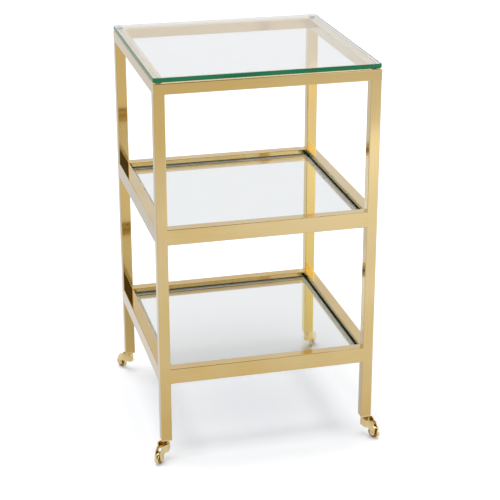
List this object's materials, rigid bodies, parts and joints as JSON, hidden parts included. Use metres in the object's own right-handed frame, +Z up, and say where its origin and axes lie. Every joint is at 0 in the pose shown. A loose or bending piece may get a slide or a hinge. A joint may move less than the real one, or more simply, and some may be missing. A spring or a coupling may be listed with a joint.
{
  "type": "bar cart on wheels",
  "caption": "Square tiered bar cart: brass square-tube frame, thick glass top and inset glass shelves, rolling on swivelling brass casters.",
  "frame": {"origin": "on the floor, under the middle of the frame, with the casters' wheels touching z = 0", "axes": "+Z up, -Y the front, +X the right side"},
  "size_m": [0.4434, 0.4514, 0.738],
  "materials": {
    "frame_brass": "polished and lacquered",
    "ledge_brass": "polished and lacquered",
    "plug_brass": "polished and lacquered",
    "caster_brass": "cast and polished",
    "wheel_brass": "turned and polished",
    "pin_brass": "turned and polished",
    "washer_steel": "plain steel",
    "clear_glass": "clear tempered, polished edges",
    "clear_vinyl": "clear soft vinyl"
  },
  "bodies": {
    "cart_frame": {"leg_plug_back_left": "plug_brass", "leg_plug_back_right": "plug_brass", "leg_plug_front_left": "plug_brass", "leg_plug_front_right": "plug_brass", "lower_cushion_strips": "clear_vinyl", "lower_glass": "clear_glass", "lower_ledge_back": "ledge_brass", "lower_ledge_front": "ledge_brass", "lower_ledge_left": "ledge_brass", "lower_ledge_right": "ledge_brass", "lower_rail_back": "frame_brass", "lower_rail_front": "frame_brass", "lower_rail_left": "frame_brass", "lower_rail_right": "frame_brass", "middle_cushion_strips": "clear_vinyl", "middle_glass": "clear_glass", "middle_ledge_back": "ledge_brass", "middle_ledge_front": "ledge_brass", "middle_ledge_left": "ledge_brass", "middle_ledge_right": "ledge_brass", "middle_rail_back": "frame_brass", "middle_rail_front": "frame_brass", "middle_rail_left": "frame_brass", "middle_rail_right": "frame_brass", "post_back_left": "frame_brass", "post_back_right": "frame_brass", "post_front_left": "frame_brass", "post_front_right": "frame_brass", "swivel_stem_back_left": "pin_brass", "swivel_stem_back_right": "pin_brass", "swivel_stem_front_left": "pin_brass", "swivel_stem_front_right": "pin_brass", "swivel_washer_back_left": "washer_steel", "swivel_washer_back_right": "washer_steel", "swivel_washer_front_left": "washer_steel", "swivel_washer_front_right": "washer_steel", "top_bumpers": "clear_vinyl", "top_glass": "clear_glass", "top_rail_back": "frame_brass", "top_rail_front": "frame_brass", "top_rail_left": "frame_brass", "top_rail_right": "frame_brass"},
    "caster_front_left": {"fork_front_left": "caster_brass", "axle_front_left": "pin_brass"},
    "roller_front_left": {"wheel_front_left": "wheel_brass"},
    "caster_front_right": {"fork_front_right": "caster_brass", "axle_front_right": "pin_brass"},
    "roller_front_right": {"wheel_front_right": "wheel_brass"},
    "caster_back_right": {"fork_back_right": "caster_brass", "axle_back_right": "pin_brass"},
    "roller_back_right": {"wheel_back_right": "wheel_brass"},
    "caster_back_left": {"fork_back_left": "caster_brass", "axle_back_left": "pin_brass"},
    "roller_back_left": {"wheel_back_left": "wheel_brass"}
  },
  "joints": [
    {"name": "swivel_front_left", "type": "hinge", "parent": "cart_frame", "child": "caster_front_left", "pos_m": [-0.195, -0.195, 0.03], "axis": [0, 0, 1], "continuous": true},
    {"name": "roll_front_left", "type": "hinge", "parent": "caster_front_left", "child": "roller_front_left", "pos_m": [-0.21167, -0.21226, 0.0125], "axis": [0.7193, -0.6947, 0], "continuous": true},
    {"name": "swivel_front_right", "type": "hinge", "parent": "cart_frame", "child": "caster_front_right", "pos_m": [0.195, -0.195, 0.03], "axis": [0, 0, 1], "continuous": true},
    {"name": "roll_front_right", "type": "hinge", "parent": "caster_front_right", "child": "roller_front_right", "pos_m": [0.20877, -0.21466, 0.0125], "axis": [0.8192, 0.5736, 0], "continuous": true},
    {"name": "swivel_back_right", "type": "hinge", "parent": "cart_frame", "child": "caster_back_right", "pos_m": [0.195, 0.195, 0.03], "axis": [0, 0, 1], "continuous": true},
    {"name": "roll_back_right", "type": "hinge", "parent": "caster_back_right", "child": "roller_back_right", "pos_m": [0.21167, 0.21226, 0.0125], "axis": [-0.7193, 0.6947, 0], "continuous": true},
    {"name": "swivel_back_left", "type": "hinge", "parent": "cart_frame", "child": "caster_back_left", "pos_m": [-0.195, 0.195, 0.03], "axis": [0, 0, 1], "continuous": true},
    {"name": "roll_back_left", "type": "hinge", "parent": "caster_back_left", "child": "roller_back_left", "pos_m": [-0.20877, 0.21466, 0.0125], "axis": [-0.8192, -0.5736, 0], "continuous": true}
  ]
}
